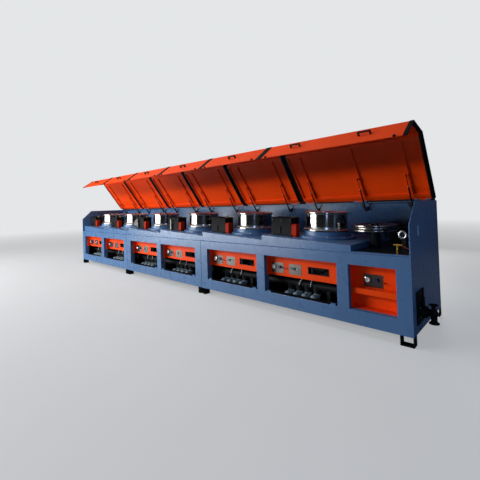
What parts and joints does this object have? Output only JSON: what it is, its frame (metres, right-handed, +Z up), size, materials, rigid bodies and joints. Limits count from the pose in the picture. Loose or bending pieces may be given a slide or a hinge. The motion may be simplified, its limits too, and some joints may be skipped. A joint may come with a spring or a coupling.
{
  "type": "straight-line wire drawing machine",
  "caption": "Dry straight-line wire drawing machine: welded frame with tilted beds, steel drums behind die boxes, and hinged lids on gas struts.",
  "frame": {"origin": "centre of the machine's overall footprint, on the floor", "axes": "+X along the machine in the direction the wire runs, +Y from the operator's side to the back, +Z up"},
  "size_m": [8.6024, 1.213, 2.3018],
  "materials": {
    "frame_paint": "semi-gloss grey-blue machine enamel on welded steel plate",
    "orange_paint": "gloss orange powder coat on folded sheet",
    "drum_steel": "ground and polished drum face with fine turning rings",
    "black_paint": "dull black paint",
    "plate_metal": "dark brushed instrument plate",
    "cast_paint": "dark grey-blue paint on castings",
    "belt_rubber": "matt black rubber",
    "hose_rubber": "matt grey-green rubber",
    "rod_chrome": "bright chromed rod"
  },
  "bodies": {
    "machine": {"frame_left": "frame_paint", "frame_middle": "frame_paint", "frame_right": "frame_paint", "feet": "black_paint", "bed_left": "frame_paint", "bed_middle": "frame_paint", "bed_right": "frame_paint", "back_walls": "frame_paint", "back_panels": "frame_paint", "end_wall_left": "frame_paint", "end_wall_right": "frame_paint", "control_panels": "orange_paint", "instrument_plates": "plate_metal", "die_boxes": "black_paint", "die_guards": "orange_paint", "drum_bases": "frame_paint", "gearboxes": "cast_paint", "drive_motors": "cast_paint", "belt_drives": "belt_rubber", "bottom_trays": "black_paint", "water_pipe": "black_paint", "water_elbows": "hose_rubber", "wire_guides": "black_paint", "guide_wheel_stand": "frame_paint", "exit_guide": "cast_paint", "water_valve": "black_paint"},
    "guide_wheel": {"guide_wheel": "black_paint"},
    "drum_1": {"drum_1": "drum_steel"},
    "drum_2": {"drum_2": "drum_steel"},
    "drum_3": {"drum_3": "drum_steel"},
    "drum_4": {"drum_4": "drum_steel"},
    "drum_5": {"drum_5": "drum_steel"},
    "drum_6": {"drum_6": "drum_steel"},
    "lid_1": {"lid_1": "orange_paint"},
    "strut_cylinders_1": {"strut_cylinders_1": "black_paint"},
    "strut_rods_1": {"strut_rods_1": "rod_chrome"},
    "lid_2": {"lid_2": "orange_paint"},
    "strut_cylinders_2": {"strut_cylinders_2": "black_paint"},
    "strut_rods_2": {"strut_rods_2": "rod_chrome"},
    "lid_3": {"lid_3": "orange_paint"},
    "strut_cylinders_3": {"strut_cylinders_3": "black_paint"},
    "strut_rods_3": {"strut_rods_3": "rod_chrome"},
    "lid_4": {"lid_4": "orange_paint"},
    "strut_cylinders_4": {"strut_cylinders_4": "black_paint"},
    "strut_rods_4": {"strut_rods_4": "rod_chrome"},
    "lid_5": {"lid_5": "orange_paint"},
    "strut_cylinders_5": {"strut_cylinders_5": "black_paint"},
    "strut_rods_5": {"strut_rods_5": "rod_chrome"},
    "lid_6": {"lid_6": "orange_paint"},
    "strut_cylinders_6": {"strut_cylinders_6": "black_paint"},
    "strut_rods_6": {"strut_rods_6": "rod_chrome"}
  },
  "joints": [
    {"name": "guide_wheel_spin", "type": "hinge", "parent": "machine", "child": "guide_wheel", "pos_m": [3.57875, -0.0265, 1.135], "axis": [0, 0, 1], "continuous": true},
    {"name": "drum_1_spin", "type": "hinge", "parent": "machine", "child": "drum_1", "pos_m": [-3.57226, -0.0265, 1.19018], "axis": [0.0506, 0, 0.9987], "continuous": true},
    {"name": "drum_2_spin", "type": "hinge", "parent": "machine", "child": "drum_2", "pos_m": [-2.27226, -0.0265, 1.19018], "axis": [0.0506, 0, 0.9987], "continuous": true},
    {"name": "drum_3_spin", "type": "hinge", "parent": "machine", "child": "drum_3", "pos_m": [-0.97226, -0.0265, 1.19018], "axis": [0.0506, 0, 0.9987], "continuous": true},
    {"name": "drum_4_spin", "type": "hinge", "parent": "machine", "child": "drum_4", "pos_m": [0.32774, -0.0265, 1.19018], "axis": [0.0506, 0, 0.9987], "continuous": true},
    {"name": "drum_5_spin", "type": "hinge", "parent": "machine", "child": "drum_5", "pos_m": [1.62774, -0.0265, 1.19018], "axis": [0.0506, 0, 0.9987], "continuous": true},
    {"name": "drum_6_spin", "type": "hinge", "parent": "machine", "child": "drum_6", "pos_m": [2.92774, -0.0265, 1.19018], "axis": [0.0506, 0, 0.9987], "continuous": true},
    {"name": "lid_1_hinge", "type": "hinge", "parent": "machine", "child": "lid_1", "pos_m": [-3.65525, 0.5735, 1.46], "axis": [-1, 0, 0], "range_deg": [-55, 0]},
    {"name": "strut_1_swing", "type": "hinge", "parent": "machine", "child": "strut_cylinders_1", "pos_m": [-3.65525, 0.5595, 1.352], "axis": [-1, 0, 0], "range_deg": [-49.38, 0]},
    {"name": "strut_1_slide", "type": "slide", "parent": "strut_cylinders_1", "child": "strut_rods_1", "axis": [0, -0.5287, 0.8488], "range_m": [-0.0906, 0]},
    {"name": "lid_2_hinge", "type": "hinge", "parent": "machine", "child": "lid_2", "pos_m": [-2.35125, 0.5735, 1.46], "axis": [-1, 0, 0], "range_deg": [-55, 0]},
    {"name": "strut_2_swing", "type": "hinge", "parent": "machine", "child": "strut_cylinders_2", "pos_m": [-2.35125, 0.5595, 1.352], "axis": [-1, 0, 0], "range_deg": [-49.38, 0]},
    {"name": "strut_2_slide", "type": "slide", "parent": "strut_cylinders_2", "child": "strut_rods_2", "axis": [0, -0.5287, 0.8488], "range_m": [-0.0906, 0]},
    {"name": "lid_3_hinge", "type": "hinge", "parent": "machine", "child": "lid_3", "pos_m": [-1.05125, 0.5735, 1.46], "axis": [-1, 0, 0], "range_deg": [-55, 0]},
    {"name": "strut_3_swing", "type": "hinge", "parent": "machine", "child": "strut_cylinders_3", "pos_m": [-1.05125, 0.5595, 1.352], "axis": [-1, 0, 0], "range_deg": [-49.38, 0]},
    {"name": "strut_3_slide", "type": "slide", "parent": "strut_cylinders_3", "child": "strut_rods_3", "axis": [0, -0.5287, 0.8488], "range_m": [-0.0906, 0]},
    {"name": "lid_4_hinge", "type": "hinge", "parent": "machine", "child": "lid_4", "pos_m": [0.24875, 0.5735, 1.46], "axis": [-1, 0, 0], "range_deg": [-55, 0]},
    {"name": "strut_4_swing", "type": "hinge", "parent": "machine", "child": "strut_cylinders_4", "pos_m": [0.24875, 0.5595, 1.352], "axis": [-1, 0, 0], "range_deg": [-49.38, 0]},
    {"name": "strut_4_slide", "type": "slide", "parent": "strut_cylinders_4", "child": "strut_rods_4", "axis": [0, -0.5287, 0.8488], "range_m": [-0.0906, 0]},
    {"name": "lid_5_hinge", "type": "hinge", "parent": "machine", "child": "lid_5", "pos_m": [1.54875, 0.5735, 1.46], "axis": [-1, 0, 0], "range_deg": [-55, 0]},
    {"name": "strut_5_swing", "type": "hinge", "parent": "machine", "child": "strut_cylinders_5", "pos_m": [1.54875, 0.5595, 1.352], "axis": [-1, 0, 0], "range_deg": [-49.38, 0]},
    {"name": "strut_5_slide", "type": "slide", "parent": "strut_cylinders_5", "child": "strut_rods_5", "axis": [0, -0.5287, 0.8488], "range_m": [-0.0906, 0]},
    {"name": "lid_6_hinge", "type": "hinge", "parent": "machine", "child": "lid_6", "pos_m": [3.16775, 0.5735, 1.46], "axis": [-1, 0, 0], "range_deg": [-55, 0]},
    {"name": "strut_6_swing", "type": "hinge", "parent": "machine", "child": "strut_cylinders_6", "pos_m": [3.16775, 0.5595, 1.352], "axis": [-1, 0, 0], "range_deg": [-49.38, 0]},
    {"name": "strut_6_slide", "type": "slide", "parent": "strut_cylinders_6", "child": "strut_rods_6", "axis": [0, -0.5287, 0.8488], "range_m": [-0.0906, 0]}
  ],
  "couplings": [
    {"joint": "strut_1_swing", "follows": "lid_1_hinge", "ratio": 0.89683},
    {"joint": "strut_1_slide", "follows": "lid_1_hinge", "m_per_rad": 0.094255},
    {"joint": "strut_2_swing", "follows": "lid_2_hinge", "ratio": 0.89683},
    {"joint": "strut_2_slide", "follows": "lid_2_hinge", "m_per_rad": 0.094255},
    {"joint": "strut_3_swing", "follows": "lid_3_hinge", "ratio": 0.89683},
    {"joint": "strut_3_slide", "follows": "lid_3_hinge", "m_per_rad": 0.094255},
    {"joint": "strut_4_swing", "follows": "lid_4_hinge", "ratio": 0.89683},
    {"joint": "strut_4_slide", "follows": "lid_4_hinge", "m_per_rad": 0.094255},
    {"joint": "strut_5_swing", "follows": "lid_5_hinge", "ratio": 0.89683},
    {"joint": "strut_5_slide", "follows": "lid_5_hinge", "m_per_rad": 0.094255},
    {"joint": "strut_6_swing", "follows": "lid_6_hinge", "ratio": 0.89683},
    {"joint": "strut_6_slide", "follows": "lid_6_hinge", "m_per_rad": 0.094255}
  ]
}
